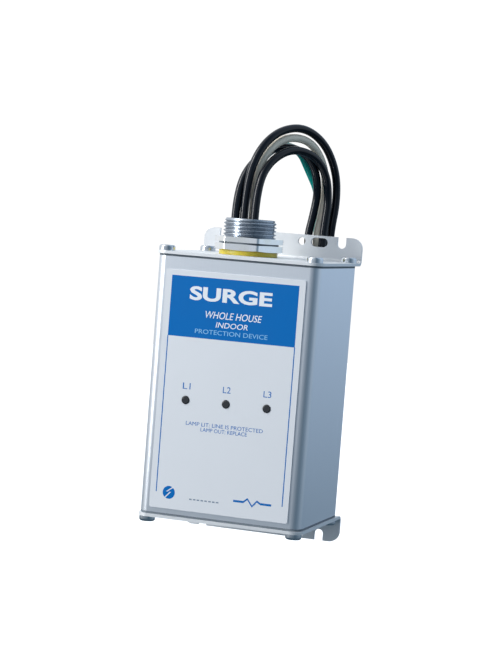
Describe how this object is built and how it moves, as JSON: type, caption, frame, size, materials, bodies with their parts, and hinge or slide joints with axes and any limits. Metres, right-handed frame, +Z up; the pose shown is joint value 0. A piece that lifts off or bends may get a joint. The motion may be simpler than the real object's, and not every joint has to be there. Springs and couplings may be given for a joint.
{
  "type": "whole house surge protector",
  "caption": "Surge protector in an aluminium case with wall flanges, a face label with status lamps, a threaded conduit nipple with a locknut, and wire leads.",
  "frame": {"origin": "on the wall plane, in the middle of the fixing hole pattern of the two wall flanges", "axes": "+X to the right seen from the front, +Y towards the wall, +Z up towards the conduit nipple"},
  "size_m": [0.086, 0.1032, 0.213],
  "materials": {
    "case_aluminium": "satin anodised",
    "plate_steel": "satin",
    "gasket_rubber": "matt",
    "bright_screw": "bright plated",
    "label_face": "satin",
    "smoky_lens": "gloss",
    "lamp_resin": "gloss",
    "circuit_board": "solder mask",
    "flat_cable": "satin",
    "varistor_coat": "epoxy coat",
    "fuse_sleeve": "gloss",
    "capacitor_case": "satin",
    "block_plastic": "satin",
    "liner_sheet": "matt",
    "foam_block": "matt",
    "tinned_copper": "bright",
    "zinc_plate": "bright zinc",
    "yellow_fibre": "satin",
    "black_insulation": "semi gloss",
    "white_insulation": "semi gloss",
    "green_insulation": "semi gloss",
    "tie_nylon": "satin"
  },
  "bodies": {
    "enclosure": {"body_extrusion": "case_aluminium", "top_end_plate": "plate_steel", "bottom_end_plate": "plate_steel", "top_gasket": "gasket_rubber", "bottom_gasket": "gasket_rubber", "top_end_screws": "bright_screw", "bottom_end_screws": "bright_screw", "face_label": "label_face", "status_lens_1": "smoky_lens", "status_lens_2": "smoky_lens", "status_lens_3": "smoky_lens", "status_lamps": "lamp_resin", "lamp_board": "circuit_board", "lamp_cable": "flat_cable", "main_board": "circuit_board", "varistors": "varistor_coat", "thermal_fuses": "fuse_sleeve", "film_capacitors": "capacitor_case", "terminal_block": "block_plastic", "insulating_liner": "liner_sheet", "board_cushions": "foam_block", "ground_stud": "bright_screw", "ring_terminal": "tinned_copper", "ground_nut": "bright_screw", "bonding_wire": "green_insulation", "conduit_nipple": "zinc_plate", "sealing_washer": "yellow_fibre", "inner_locknut": "zinc_plate", "throat_bushing": "block_plastic", "lead_line_1": "black_insulation", "lead_line_2": "black_insulation", "lead_line_3": "black_insulation", "lead_neutral": "white_insulation", "lead_ground": "green_insulation", "inner_lead_line_1": "black_insulation", "inner_lead_line_2": "black_insulation", "inner_lead_line_3": "black_insulation", "inner_lead_neutral": "white_insulation", "inner_lead_ground": "green_insulation", "lead_hank": "black_insulation", "hank_ties": "tie_nylon"},
    "seal_ring": {"locknut_seal": "gasket_rubber"},
    "locknut": {"locknut": "zinc_plate"}
  },
  "joints": [
    {"name": "locknut_rise", "type": "slide", "parent": "enclosure", "child": "seal_ring", "axis": [0, 0, 1], "range_m": [0, 0.00726]},
    {"name": "locknut_turn", "type": "hinge", "parent": "seal_ring", "child": "locknut", "pos_m": [-0.006, -0.0375, 0.0738], "axis": [0, 0, 1], "range_deg": [0, 1440]}
  ],
  "couplings": [
    {"joint": "locknut_rise", "follows": "locknut_turn", "m_per_rad": 0.00028871}
  ]
}
